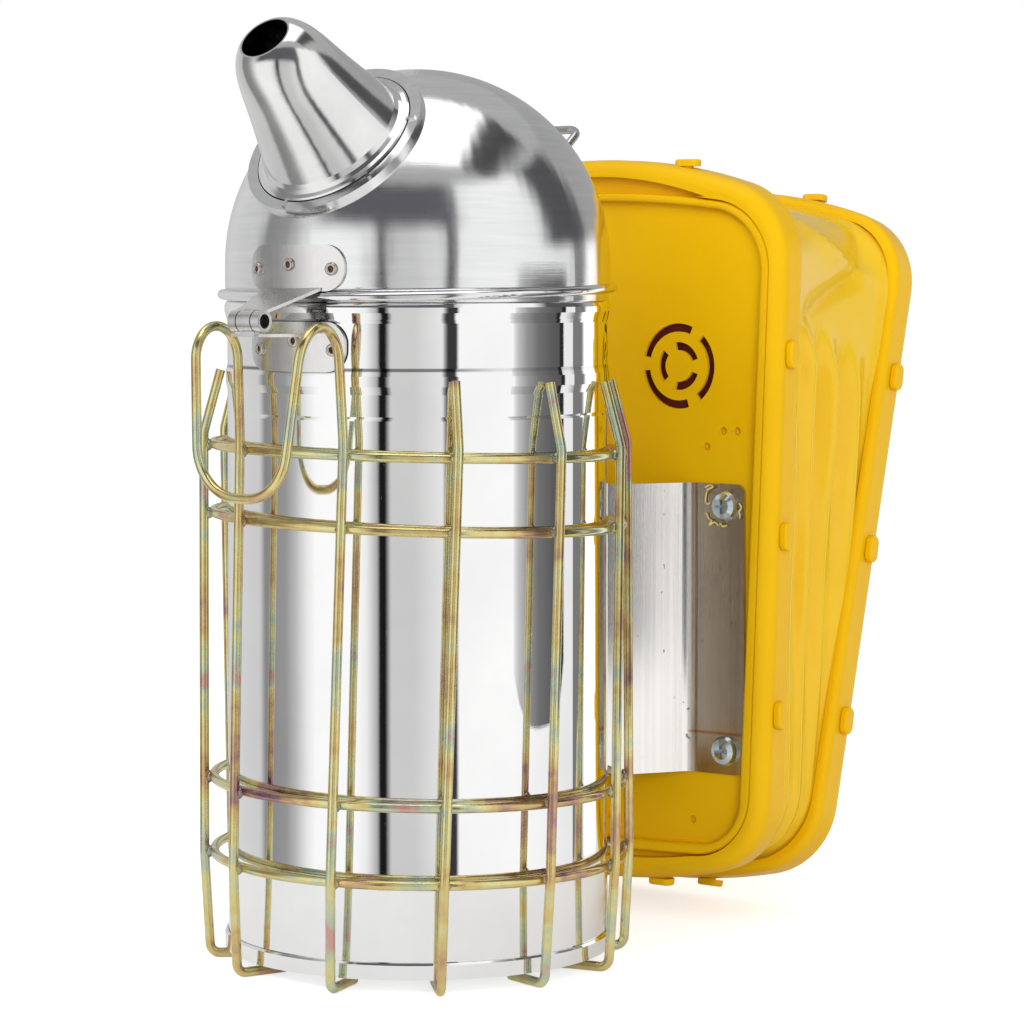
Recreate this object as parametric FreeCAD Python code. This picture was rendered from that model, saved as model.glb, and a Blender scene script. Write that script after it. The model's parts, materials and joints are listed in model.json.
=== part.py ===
"""Bee smoker: steel fire pot with hinged domed lid and spout, wire guard with a
hanging hook, and a wedge-shaped plastic bellows on a sheet-metal bracket.

Frame: +Z up, Z is the axis of the fire pot, z = 0 is the plane that the wire
feet stand on. The lid hinge, spout and hook face -Y, the bellows is at +Y.
All lengths are in millimetres and all angles in degrees.
"""
import FreeCAD, Part
import math
import os

V = FreeCAD.Vector

# ---------------------------------------------------------------- fire pot
pot_radius = 50.0          # outside of the plain wall
wall = 0.8                 # sheet thickness of pot, base and leaves
rim_height = 173.0         # shoulder that the lid rests on
collar_height = 177.0      # top of the inner collar that locates the lid
bulge = 0.7                # shoulder bulge under the rim
bead_low, bead_high = 150.2, 156.0
bead_rise = 0.45
groove_height = 143.8
seam_bottom, seam_top = 3.6, 7.8
seam_rise = 1.0
base_height = 5.8

# ---------------------------------------------------------------- guard
wire = 2.5                 # wire diameter
upright_radius = 56.3      # wire centre
ring_radius = upright_radius - wire
ring_heights = (27.9, 47.3, 116.0, 134.4)
ring_tilts = (0.8, 1.2, 2.0, 1.4)      # each ring sits a little askew
ring_half_angle = 155.0    # the rings stay open at the back for the bracket
upright_angles = (46.5, 76.0, 104.0, 135.0)
hook_angle = 17.0
twist_top, twist_bottom = 1.8, -2.7    # the uprights lean a little round the pot
skew = 1.7                 # slope of the line that the tops of the uprights follow
skew_axis = 38.0           # that slope runs across this direction from the front
bend_height = 137.0        # where the uprights turn in towards the pot
upright_top = 153.5
foot_bend_radius = 54.8
foot_length = 14.0
hook_plane = 70.5          # distance of the hanging hook in front of the axis
hook_top_x = (-15.2, 19.6)       # the hanging loop is bent a little to one side
hook_low_x = (-14.6, 12.4)
hook_top, hook_bottom = 166.9, 124.5

# ---------------------------------------------------------------- lid
dome_radius = 50.5
dome_centre = 183.0        # height of the centre of the spherical part
dome_wall = 0.7
skirt_radius = 50.1
step_height = 175.4        # where the skirt widens into the dome
lid_low = rim_height + 0.1   # the skirt stops just clear of the shoulder
bead_height = 175.6
bead_tilt = 1.7            # the rolled bead rises towards the back
bead_centre_radius = 51.3
bead_diameter = 2.4
spout_elevation = 42.0
collar_radius = 24.9
tab_angles = (52, 172, 234, 286)         # crimp tabs round the spout
collar_level = 46.8        # flat collar face, measured from the dome centre
spout_hole = 22.0
spout_flare = 21.7
spout_tip = 82.8
mouth_radius = 6.5
handle_wire = 2.3

# ---------------------------------------------------------------- hinge
hinge_y, hinge_z = -67.5, 168.3
knuckle_radius = 2.7
pin_radius = 1.75
pin_clearance = 0.06
knuckle_half = 4.9
middle_half = 2.2
knuckle_gap = 0.3
pin_recess = 1.5           # the pin ends inside the barrel
leaf_half_angle = 17.5
tongue_root_half = 9.0
rivet_head = 1.8

# ---------------------------------------------------------------- bellows
board_y = 85.0             # front face of the recessed panel
board_thickness = 2.2
lip_front = 81.5
rim_front, rim_back = 81.0, 93.2
rear_front = 108.0         # front of the rear rim when both boards are parallel
pivot_z = 14.0             # height of the line that the rear board swings about
wedge_angle = 12.2
rear_drop = 3.0            # the rear board hangs a little lower
peg_heights = (58.6, 107.9, 157.8)
peg_head_length = 7.8
top_peg_x, bottom_peg_x = 27.5, 19.0
vent_x, vent_z = 25.8, 154.2
vent_web = 1.1             # the board is thinned behind the vent
skin_inset = 2.0           # skin inside the board's flange outline
skin_sheet = 1.0
outlet_z = 30.0

# ---------------------------------------------------------------- bracket
bracket_low, bracket_high = 41.3, 121.9
bracket_sheet = 0.8
bracket_foot = 8.0         # half width of the strip on the pot
bracket_bend_x = 30.2
bracket_edge_x = 48.1
screw_x = 42.3
screw_heights = (47.9, 115.8)

os.makedirs("parts", exist_ok=True)


# ---------------------------------------------------------------- helpers
def save(name, shape):
    """Write one node."""
    if not shape.isValid():
        print("INVALID", name)
    print("%-20s solids %2d  volume %10.1f" % (name, len(shape.Solids), shape.Volume))
    shape.exportStep("parts/%s.step" % name)


def polar(radius, angle, height):
    """Point at an angle measured from the front (-Y) towards +X."""
    turn = math.radians(angle)
    return V(radius * math.sin(turn), -radius * math.cos(turn), height)


def revolved(points, centre=V(0, 0, 0), axis=V(0, 0, 1)):
    """Solid of revolution about Z from (radius, height) points, then moved."""
    corners = [V(r, 0, h) for r, h in points]
    face = Part.Face(Part.makePolygon(corners + corners[:1]))
    solid = face.revolve(V(0, 0, 0), V(0, 0, 1), 360)
    if not axis.isEqual(V(0, 0, 1), 1e-9):
        solid.Placement = FreeCAD.Placement(V(0, 0, 0), FreeCAD.Rotation(V(0, 0, 1), axis))
    solid.translate(centre)
    return solid


def curved_solid(points, closing):
    """Solid of revolution about Z: a smooth curve closed by straight sides."""
    curve = Part.BSplineCurve()
    curve.interpolate([V(r, 0, h) for r, h in points])
    corners = [V(points[-1][0], 0, points[-1][1])]
    corners += [V(r, 0, h) for r, h in closing]
    corners += [V(points[0][0], 0, points[0][1])]
    outline = Part.Wire([curve.toShape()] + Part.makePolygon(corners).Edges)
    return Part.Face(outline).revolve(V(0, 0, 0), V(0, 0, 1), 360)


def cylinder(radius, start, end):
    """Cylinder between two points."""
    return Part.makeCylinder(radius, start.distanceToPoint(end), start, end - start)


def box(x0, x1, y0, y1, z0, z1):
    return Part.makeBox(x1 - x0, y1 - y0, z1 - z0, V(x0, y0, z0))


def bent_path(points, radii):
    """Straight runs joined by tangent arcs, one radius for each inner point."""
    edges = []
    last = points[0]
    for index, radius in enumerate(radii):
        corner = points[index + 1]
        back = (points[index] - corner).normalize()
        ahead = (points[index + 2] - corner).normalize()
        half = back.getAngle(ahead) / 2
        reach = radius / math.tan(half)
        middle = (back + ahead).normalize()
        start = corner + back * reach
        end = corner + ahead * reach
        crown = corner + middle * (radius / math.sin(half) - radius)
        if start.distanceToPoint(last) > 1e-4:
            edges.append(Part.makeLine(last, start))
        edges.append(Part.Arc(start, crown, end).toShape())
        last = end
    if points[-1].distanceToPoint(last) > 1e-4:
        edges.append(Part.makeLine(last, points[-1]))
    return Part.Wire(edges)


def bent_wire(points, radii, diameter):
    """Round wire along a bent path."""
    path = bent_path(points, radii)
    direction = points[1] - points[0]
    section = Part.Wire(Part.makeCircle(diameter / 2, points[0], direction))
    return path.makePipeShell([section], True, False)


def rivet(start, direction, grip, head=rivet_head, shank=1.1):
    """Round-headed rivet: head on the outside, upset tail inside."""
    direction = V(direction).normalize()
    dome = Part.makeCylinder(head, 0.55, start, direction)
    dome = dome.fuse(Part.makeCylinder(head * 0.62, 0.95, start, direction))
    stem = Part.makeCylinder(shank, grip + 0.9, start - direction * (grip + 0.9), direction)
    tail = Part.makeCylinder(head * 0.85, 0.7, start - direction * (grip + 0.75), direction)
    return dome.fuse([stem, tail]).removeSplitter()


def plate_block(half_top, half_bottom, low, high, bows, corners, y0, y1):
    """Upright plate: bowed top and bottom edges, tapered sides, round corners."""
    bow_top, bow_bottom = bows
    top_left = V(-half_top, y0, high - bow_top)
    top_right = V(half_top, y0, high - bow_top)
    low_right = V(half_bottom, y0, low + bow_bottom)
    low_left = V(-half_bottom, y0, low + bow_bottom)
    sides = [
        Part.Arc(top_left, V(0, y0, high), top_right).toShape(),
        Part.makeLine(top_right, low_right),
        Part.Arc(low_right, V(0, y0, low), low_left).toShape(),
        Part.makeLine(low_left, top_left),
    ]
    block = Part.Face(Part.Wire(sides)).extrude(V(0, y1 - y0, 0))
    middle = (low + high) / 2
    upper = []
    lower = []
    for edge in block.Edges:
        ends = [v.Point for v in edge.Vertexes]
        if len(ends) == 2 and abs(abs(ends[0].y - ends[1].y) - abs(y1 - y0)) < 1e-6:
            (upper if ends[0].z > middle else lower).append(edge)
    block = block.makeFillet(corners[0], upper)
    lower = []
    for edge in block.Edges:
        ends = [v.Point for v in edge.Vertexes]
        low_corner = len(ends) == 2 and ends[0].z < low + bow_bottom + 1
        if low_corner and abs(abs(ends[0].y - ends[1].y) - abs(y1 - y0)) < 1e-6:
            lower.append(edge)
    return block.makeFillet(corners[1], lower)


def end_wire(block, y):
    """Outline of the block's flat face at this Y."""
    face = min(block.Faces, key=lambda f: abs(f.CenterOfMass.y - y) + f.BoundBox.YLength * 10)
    return face.OuterWire


# ---------------------------------------------------------------- fire pot
def make_fire_pot():
    """Drawn pot wall with shoulder bulge, shallow bead and inner collar."""
    r = pot_radius
    outer = [
        (r, seam_bottom + wall + 0.1), (r, groove_height - 0.5), (r - 0.15, groove_height),
        (r, groove_height + 0.5), (r, bead_low - 0.4), (r + bead_rise, bead_low + 1.6),
        (r + bead_rise, bead_high - 1.6), (r, bead_high + 0.4), (r, 167.6),
        (r + bulge * 0.35, 168.6), (r + bulge, 170.2), (r + bulge, 171.6),
        (r + bulge * 0.5, 172.6), (r, rim_height), (r - 1.2, rim_height),
        (r - 1.2, collar_height),
    ]
    inner = [(a - wall, b) for a, b in outer[:-3]]
    inner += [(r - 1.2 - wall, rim_height - wall), (r - 1.2 - wall, collar_height)]
    pot = revolved(outer + inner[::-1])
    inlet = cylinder(6.05, V(0, 40, outlet_z), V(0, 60, outlet_z))
    return pot.cut(inlet)


def make_pot_base():
    """Bottom disc with its edge folded round the pot wall as a double seam."""
    r = pot_radius
    inside = r - wall - 0.15
    return revolved([
        (0, base_height), (inside - wall, base_height), (inside - wall, seam_bottom),
        (r + seam_rise, seam_bottom), (r + seam_rise, seam_top - 0.5), (r + seam_rise - 0.4, seam_top),
        (r + 0.1, seam_top), (r + 0.1, seam_bottom + wall), (inside, seam_bottom + wall),
        (inside, base_height + wall), (0, base_height + wall),
    ])


def make_air_inlet():
    """Short tube through the back of the pot, facing the bellows."""
    outer = cylinder(6.0, V(0, 46.5, outlet_z), V(0, 62, outlet_z))
    collar = cylinder(8.5, V(0, 50.4, outlet_z), V(0, 51.4, outlet_z))
    bore = cylinder(5.2, V(0, 40, outlet_z), V(0, 65, outlet_z))
    return outer.fuse(collar).cut(bore)


def make_grate():
    """Perforated fuel grate on three bent legs."""
    level = 40.0
    plate = Part.makeCylinder(46.0, wall, V(0, 0, level))
    holes = []
    for radius, count in ((0, 1), (12, 6), (24, 12), (36, 18)):
        for index in range(count):
            spot = polar(radius, 360.0 * index / count + radius, level - 1)
            holes.append(Part.makeCylinder(2.2, 3, spot))
    plate = plate.cut(Part.makeCompound(holes))
    legs = []
    for angle in (0, 120, 240):
        foot = base_height + wall + 0.05
        leg = box(-4.5, 4.5, -43.0, -43.0 + wall, foot, level + 0.2)
        toe = box(-4.5, 4.5, -43.0, -36.0, foot, foot + wall)
        piece = leg.fuse(toe)
        piece.rotate(V(0, 0, 0), V(0, 0, 1), angle)
        legs.append(piece)
    return plate.fuse(legs).removeSplitter()


# ---------------------------------------------------------------- hinge
def curved_leaf(radius, low, high, half_angle, corner):
    """Rounded plate that lies on a cylinder round the Z axis, at the front."""
    shell = Part.makeCylinder(radius + wall, high - low, V(0, 0, low))
    shell = shell.cut(Part.makeCylinder(radius, high - low, V(0, 0, low)))
    half = radius * math.sin(math.radians(half_angle))
    window = box(-half, half, -70, -20, low, high)
    edges = [e for e in window.Edges if e.BoundBox.YLength > 40]
    return shell.common(window.makeFillet(corner, edges))


def knuckle(x0, x1):
    return cylinder(knuckle_radius, V(x0, hinge_y, hinge_z), V(x1, hinge_y, hinge_z))


def pin_bore():
    return cylinder(pin_radius + pin_clearance, V(-9, hinge_y, hinge_z), V(9, hinge_y, hinge_z))


def tapered_sheet(y_wide, half_wide, y_narrow, half_narrow, z_wide, z_narrow):
    """Flat tongue of sheet, wide at the leaf and narrow at the barrel; z is its lower face."""
    corners = [V(-half_wide, y_wide, z_wide), V(half_wide, y_wide, z_wide),
               V(half_narrow, y_narrow, z_narrow), V(-half_narrow, y_narrow, z_narrow)]
    normal = V(0, z_wide - z_narrow, y_narrow - y_wide).normalize()
    if normal.z < 0:
        normal = normal * -1
    return Part.Face(Part.makePolygon(corners + corners[:1])).extrude(normal * wall)


pot_rivet_spots = ((-11.4, 161.0), (0.7, 163.2), (12.0, 161.0))
lid_rivet_spots = ((-12.2, 181.2), (-0.8, 182.3), (11.8, 181.2))


def leaf_rivets(spots, radius, grip):
    """Three rivets through a leaf, square to the round wall."""
    rivets = []
    for across, height in spots:
        angle = math.degrees(math.asin(across / radius))
        rivets.append(rivet(polar(radius, angle, height), polar(1, angle, 0), grip))
    return rivets


def make_pot_leaf():
    """Lower leaf: rounded plate, shelf under the barrel and the middle knuckle."""
    seat = pot_radius + bead_rise + 0.1
    leaf = curved_leaf(seat, 155.4, 168.0, leaf_half_angle, 5.5)
    shelf = tapered_sheet(-seat + 0.4, 11.5, hinge_y, knuckle_half + 1.2, 164.4, 164.4)
    web = box(-middle_half, middle_half, hinge_y - 1.0, hinge_y + 1.0, 164.5, hinge_z)
    leaf = leaf.fuse([shelf, web, knuckle(-middle_half, middle_half)])
    leaf = leaf.cut(Part.makeCylinder(seat, 30, V(0, 0, 150)))
    return leaf.cut(pin_bore()).removeSplitter()


def make_lid_leaf():
    """Upper leaf: stadium plate on the dome, sloping tongue and two knuckles."""
    seat = dome_radius + 0.08
    leaf = curved_leaf(seat, 175.6, 187.3, leaf_half_angle, 5.4)
    tongue = tapered_sheet(-seat - wall + 0.6, tongue_root_half, hinge_y + 0.9, knuckle_half,
                           175.75, hinge_z + knuckle_radius - wall + 0.05)
    barrels = [knuckle(-knuckle_half, -middle_half - knuckle_gap),
               knuckle(middle_half + knuckle_gap, knuckle_half)]
    notch = cylinder(knuckle_radius + 0.35, V(-middle_half - knuckle_gap, hinge_y, hinge_z),
                     V(middle_half + knuckle_gap, hinge_y, hinge_z))
    leaf = leaf.fuse(tongue.cut(notch)).fuse(barrels)
    leaf = leaf.cut(Part.makeCylinder(seat, 30, V(0, 0, 165)))
    return leaf.cut(pin_bore()).removeSplitter()


# ---------------------------------------------------------------- lid
def spout_direction():
    rise = math.radians(spout_elevation)
    return V(0, -math.cos(rise), math.sin(rise))


def to_spout(shape):
    """Turn a shape built along Z onto the spout's axis, from the dome centre."""
    shape.Placement = FreeCAD.Placement(
        V(0, 0, dome_centre), FreeCAD.Rotation(V(0, 0, 1), spout_direction()))
    return shape


def dome_solid(radius, skirt, level, plateau):
    """Solid under one surface of the lid: skirt, half ball and flat plateau."""
    ball = Part.makeSphere(radius, V(0, 0, dome_centre), V(0, 0, 1), 0, 90, 360)
    body = revolved([(0, lid_low), (skirt, lid_low), (skirt, step_height),
                     (radius, step_height + 1.2), (radius, dome_centre), (0, dome_centre)])
    pad = to_spout(Part.makeCylinder(plateau, level - 20, V(0, 0, 20)))
    return ball.fuse([body, pad]).removeSplitter()


def make_dome(rivets):
    """Spun lid with rolled bead and the flat collar that the spout sits in."""
    outer = dome_solid(dome_radius, skirt_radius, collar_level, collar_radius)
    inner = dome_solid(dome_radius - dome_wall, skirt_radius - dome_wall,
                       collar_level - dome_wall, collar_radius - dome_wall)
    shell = outer.cut(inner)
    hole = to_spout(Part.makeCylinder(spout_hole, 40, V(0, 0, 30)))
    cap = to_spout(Part.makeCylinder(spout_hole + 1, 10, V(0, 0, collar_level)))
    shell = shell.cut(hole).cut(cap)
    bead = Part.makeTorus(bead_centre_radius, bead_diameter / 2, V(0, 0, bead_height))
    bead.rotate(V(0, 0, bead_height), V(1, 0, 0), bead_tilt)
    bead = bead.cut(Part.makeCylinder(skirt_radius - 0.3, 12, V(0, 0, bead_height - 6)))
    shell = shell.fuse(bead)
    return shell.cut(Part.makeCompound(rivets))


spout_profile = [
    (19.2, 44.0), (19.6, 46.4), (19.1, 48.6), (17.5, 54.0), (16.1, 59.0), (14.8, 64.0),
    (13.6, 69.0), (12.5, 73.5), (11.1, 77.6), (9.2, 80.8), (7.6, 82.4), (mouth_radius + 0.5, spout_tip),
]


def make_spout():
    """Bullet-shaped spout with a turned-in mouth, and its four crimp tabs."""
    outer = curved_solid(spout_profile, [(0, spout_tip), (0, 44.0)])
    inside = [(r - dome_wall, h - (0.0 if h < 75 else 0.25 + 0.07 * (h - 75))) for r, h in spout_profile[:-2]]
    inside.append((mouth_radius + 0.7, spout_tip - 1.5))
    inner = curved_solid(inside, [(0, spout_tip - 1.5), (0, 44.0)])
    shell = outer.cut(inner)
    mouth = Part.makeCylinder(mouth_radius, 6, V(0, 0, spout_tip - 4))
    land = Part.makeCylinder(mouth_radius + 0.6, 2.8, V(0, 0, spout_tip - 3.6))
    shell = shell.fuse(land).cut(mouth)
    flare = revolved([(18.9, 44.0), (spout_flare, 44.0), (spout_flare, collar_level + 0.2),
                      (spout_flare - 0.4, collar_level + 0.6), (20.3, collar_level + 0.9),
                      (19.5, collar_level + 1.6), (18.7, collar_level + 3.0), (18.5, collar_level)])
    shell = shell.fuse(flare)
    tabs = []
    for angle in tab_angles:
        tab = box(-0.5, 0.5, spout_flare - 0.6, spout_flare + 2.2, collar_level + 0.02, collar_level + 0.55)
        tab.rotate(V(0, 0, 0), V(0, 0, 1), angle)
        tabs.append(tab)
    return to_spout(shell.fuse(tabs).removeSplitter())


def make_handle():
    """Wire loop on the back of the dome, its two legs welded on."""
    half = 9.0
    legs_in = V(0, 40.0, 203.6)
    legs_out = V(0, 61.0, 219.6)
    points = [V(-half, legs_in.y, legs_in.z), V(-half, legs_out.y, legs_out.z),
              V(half, legs_out.y, legs_out.z), V(half, legs_in.y, legs_in.z)]
    loop = bent_wire(points, [3.6, 3.6], handle_wire)
    return loop.cut(Part.makeSphere(dome_radius + 0.02, V(0, 0, dome_centre)))


# ---------------------------------------------------------------- wire guard
def lean(angle, height):
    """Angle of a leaning upright at a height."""
    share = (height - 6.0) / (bend_height - 6.0)
    return angle + twist_bottom + (twist_top - twist_bottom) * share


def foot_points(angle, length):
    """Foot and lower bend of an upright, from the tip of the foot upwards."""
    floor = wire / 2
    low = lean(angle, 6.0)
    return [
        polar(foot_bend_radius - length, low, floor),
        polar(foot_bend_radius, low, floor),
        polar(upright_radius, lean(angle, ring_heights[0]), ring_heights[0]),
    ]


def skewed(radius, angle, height):
    """Point on an upright, raised or lowered so that the tops follow a slight slope."""
    spot = polar(radius, angle, height)
    turn = math.radians(skew_axis)
    across = spot.x * math.cos(turn) + spot.y * math.sin(turn)
    return spot - V(0, 0, across * math.tan(math.radians(skew)))


def make_upright(angle):
    """Upright: foot under the pot, straight run, top bent in to the bead."""
    points = foot_points(angle, foot_length)
    points.append(skewed(upright_radius, lean(angle, bend_height), bend_height))
    top_radius = pot_radius + bead_rise + wire / 2 + 0.15
    points.append(skewed(top_radius, lean(angle, bend_height), upright_top))
    return bent_wire(points, [2.6, 25.0, 7.0], wire)


def make_hook():
    """One long wire: foot, upright, loop forward, hanging U, and back again."""
    half = []
    for side, top_x, low_x in zip((-1, 1), hook_top_x, hook_low_x):
        points = foot_points(side * hook_angle, foot_length)
        points.append(polar(upright_radius, lean(side * hook_angle, 138.0), 138.0))
        points.append(V(side * 16.4, -53.4, hook_top))
        points.append(V(top_x, -hook_plane, hook_top))
        points.append(V(low_x, -hook_plane, hook_bottom))
        half.append(points)
    bends = [2.6, 25.0, 30.0, 8.3, 8.3]
    low_bend = 0.97 * (hook_low_x[1] - hook_low_x[0]) / 2
    bends_low = [low_bend, low_bend]
    return bent_wire(half[0] + half[1][::-1], bends + bends_low + bends[::-1], wire)


def make_ring(height, tilt):
    """Open ring inside the uprights, a little askew."""
    section = Part.Face(Part.Wire(Part.makeCircle(wire / 2, V(0, -ring_radius, height), V(1, 0, 0))))
    section.rotate(V(0, 0, 0), V(0, 0, 1), -ring_half_angle)
    ring = section.revolve(V(0, 0, 0), V(0, 0, 1), 2 * ring_half_angle)
    turn = math.radians(skew_axis)
    ring.rotate(V(0, 0, height), V(-math.sin(turn), math.cos(turn), 0), tilt)
    return ring


# ---------------------------------------------------------------- bracket
def make_bracket():
    """Sheet bracket: strip on the pot, two spreading webs, two screw flanges."""
    t = bracket_sheet
    height = bracket_high - bracket_low
    start = polar(pot_radius + 0.05 + t / 2, 180 - 9.2, bracket_low)
    bend = V(bracket_bend_x, board_y - 0.05 - t / 2, bracket_low)
    edge = V(bracket_edge_x, board_y - 0.05 - t / 2, bracket_low)
    strip = Part.makeCylinder(pot_radius + 0.05 + t, height, V(0, 0, bracket_low))
    strip = strip.cut(Part.makeCylinder(pot_radius + 0.05, height, V(0, 0, bracket_low)))
    strip = strip.common(box(-bracket_foot, bracket_foot, 30, 60, bracket_low, bracket_high))
    pieces = [strip]
    for side in (-1, 1):
        mirror = [V(side * p.x, p.y, p.z) for p in (start, bend, edge)]
        path = bent_path(mirror, [5.0])
        first = (mirror[1] - mirror[0]).normalize()
        across = V(-first.y, first.x, 0)
        corners = [mirror[0] + across * (t / 2), mirror[0] + across * (t / 2) + V(0, 0, height),
                   mirror[0] - across * (t / 2) + V(0, 0, height), mirror[0] - across * (t / 2)]
        section = Part.makePolygon(corners + corners[:1])
        pieces.append(path.makePipeShell([section], True, False))
    bracket = pieces[0].fuse(pieces[1:]).removeSplitter()
    holes = [cylinder(2.3, V(s * screw_x, 80, z), V(s * screw_x, 90, z))
             for s in (-1, 1) for z in screw_heights]
    bracket = bracket.cut(Part.makeCompound(holes))
    corners = [e for e in bracket.Edges if is_flange_corner(e)]
    return bracket.makeFillet(2.5, corners)


def is_flange_corner(edge):
    """Short edge through the sheet at an outer corner of a flange."""
    centre = edge.BoundBox.Center
    outer = abs(abs(centre.x) - bracket_edge_x) < 0.01
    return outer and edge.BoundBox.ZLength < 0.01 and edge.BoundBox.YLength > bracket_sheet * 0.5


def make_screw(x, z):
    """Pan-head screw with a cross recess."""
    seat = board_y - bracket_sheet - 0.1
    head = revolved([(0, 0), (4.15, 0), (4.15, 0.9), (3.5, 2.0), (2.2, 2.7), (0, 2.9)],
                    V(x, seat, z), V(0, -1, 0))
    shank = cylinder(2.0, V(x, seat - 0.5, z), V(x, seat + 11.0, z))
    blades = [box(x - 1.9, x + 1.9, seat - 3.2, seat - 1.3, z - 0.4, z + 0.4),
              box(x - 0.4, x + 0.4, seat - 3.2, seat - 1.3, z - 1.9, z + 1.9)]
    return head.fuse(shank).cut(blades[0].fuse(blades[1]))


# ---------------------------------------------------------------- bellows
def lip_inner(y0, y1):
    return plate_block(55.2, 47.5, 20.6, 200.3, (4.8, 1.5), (17.0, 14.0), y0, y1)


def lip_outer(y0, y1, grow=0.0):
    return plate_block(58.2 + grow, 51.0 + grow, 17.6 - grow, 202.7 + grow,
                       (5.5, 1.8), (19.0, 19.0), y0, y1)


def rim_inner(y0, y1):
    """Opening of the rim: it follows the lip, but bows away from it at mid width."""
    opening = lip_outer(y0, y1, 0.3)
    for half, base, crown in ((37.0, 201.2, 207.2), (34.0, 18.2, 15.2)):
        ends = (V(-half, y0, base), V(half, y0, base))
        arch = [Part.Arc(ends[0], V(0, y0, crown), ends[1]).toShape(), Part.makeLine(ends[1], ends[0])]
        opening = opening.fuse(Part.Face(Part.Wire(arch)).extrude(V(0, y1 - y0, 0)))
    return opening.removeSplitter()


def flange(y0, y1, grow=0.0):
    """Hidden edge of the board, inside the rim."""
    return plate_block(59.4 + grow, 52.4 + grow, 12.8 - grow, 208.6 + grow,
                       (11.9, 8.0), (20.0, 20.5), y0, y1)


def rim_outer(y0, y1):
    return plate_block(62.3, 55.6, 8.9, 212.0, (12.9, 9.5), (22.0, 22.0), y0, y1)


def vent_slots():
    """Rosette: three outer and three inner arc slots."""
    cutters = []
    for inner, outer, span, first in ((9.6, 11.9, 100.0, 163.0), (4.4, 6.7, 83.0, 108.5)):
        for index in range(3):
            ring = Part.makeCylinder(outer, 12, V(0, 0, 0), V(0, 1, 0), span)
            ring = ring.cut(Part.makeCylinder(inner, 12, V(0, 0, 0), V(0, 1, 0)))
            ring.rotate(V(0, 0, 0), V(0, 1, 0), first + 120 * index)
            ring.translate(V(vent_x, board_y - 4, vent_z))
            cutters.append(ring)
    return cutters


def make_board(vented):
    """Moulded board: recessed panel, raised lip and a hidden flange."""
    y0, y1 = board_y, board_y + board_thickness
    board = flange(y0, y1)
    lip = lip_outer(lip_front, y0).cut(lip_inner(lip_front - 1, y0 + 1))
    rounded = [e for e in lip.Edges if abs(e.BoundBox.YMin - lip_front) < 1e-3
               and e.BoundBox.YLength < 1e-3]
    lip = lip.makeFillet(1.1, rounded)
    board = board.fuse(lip)
    if not vented:
        return board.removeSplitter()
    bosses = []
    for side in (-1, 1):
        for height in screw_heights:
            bosses.append(cylinder(4.6, V(side * screw_x, y1 - 0.5, height),
                                   V(side * screw_x, board_y + 12.5, height)))
    board = board.fuse(bosses).removeSplitter()
    cuts = vent_slots()
    for spot in ((40.7, 136.5), (45.3, 136.5), (35.3, 132.0), (30.9, 27.7)):
        cuts.append(cylinder(1.1, V(spot[0], y0 - 1, spot[1]), V(spot[0], y1 + 1, spot[1])))
    for side in (-1, 1):
        for height in screw_heights:
            cuts.append(cylinder(2.0, V(side * screw_x, y0 - 1, height),
                                 V(side * screw_x, board_y + 10.9, height)))
    cuts.append(cylinder(5.05, V(0, y0 - 1, outlet_z), V(0, y1 + 1, outlet_z)))
    cuts.append(cylinder(1.55, V(vent_x, y0 + 0.9, vent_z + 15.5), V(vent_x, y1 + 1, vent_z + 15.5)))
    pocket = cylinder(13.4, V(vent_x, y0 + vent_web, vent_z), V(vent_x, y1 + 1, vent_z))
    return board.cut(pocket).cut(Part.makeCompound(cuts))


def make_rim():
    """Rounded frame that grips the board's edge and the skin."""
    body = rim_outer(rim_front, rim_back)
    for y, radius in ((rim_front, 4.2), (rim_back, 2.2)):
        edges = [e for e in body.Edges if e.BoundBox.YLength < 1e-3 and abs(e.BoundBox.YMin - y) < 1e-3]
        body = body.makeFillet(radius, edges)
    body = body.cut(rim_inner(rim_front - 1, board_y))
    return body.cut(flange(board_y - 0.2, rim_back + 1, 0.2))


def side_x(height):
    """Half width of the rim's outside at a height."""
    share = (height - 18.4) / (199.1 - 18.4)
    return 55.6 + 6.7 * share


def bow(x, reach, half):
    """Drop of a shallow arc at x, for a drop of reach at the half width."""
    radius = (half * half + reach * reach) / (2 * reach)
    return radius - math.sqrt(radius * radius - x * x)


def make_pegs():
    """Ten moulded pegs that pin the rim: stem and mushroom head."""
    middle = (rim_front + rim_back) / 2
    spots = []
    for side in (-1, 1):
        for height in peg_heights:
            spots.append((V(side * side_x(height), middle, height), V(side, 0, 0)))
        top = 212.0 - bow(top_peg_x, 12.9, 62.3)
        spots.append((V(side * top_peg_x, middle, top), V(0, 0, 1)))
        low = 8.9 + bow(bottom_peg_x, 9.5, 55.6)
        spots.append((V(side * bottom_peg_x, middle, low), V(0, 0, -1)))
    pegs = []
    for place, out in spots:
        along = V(0, 1, 0).cross(out)
        stem = Part.makeCylinder(1.5, 3.2, place - out * 2.3, out)
        low = place + out * 0.3
        ends = [low + along * reach for reach in (-peg_head_length / 2 + 2.2, peg_head_length / 2 - 2.2)]
        head = Part.makeCylinder(2.2, 1.9, ends[0], out)
        head = head.fuse(Part.makeCylinder(2.2, 1.9, ends[1], out))
        side = V(0, 2.2, 0)
        block = Part.Face(Part.makePolygon([ends[0] - side, ends[1] - side, ends[1] + side,
                                            ends[0] + side, ends[0] - side]))
        head = head.fuse(block.extrude(out * 1.9)).removeSplitter()
        crown = [e for e in head.Edges if abs((e.CenterOfMass - low).dot(out) - 1.9) < 0.01]
        pegs.append(stem.fuse(head.makeFillet(0.7, crown)).removeSplitter())
    return pegs


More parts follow.
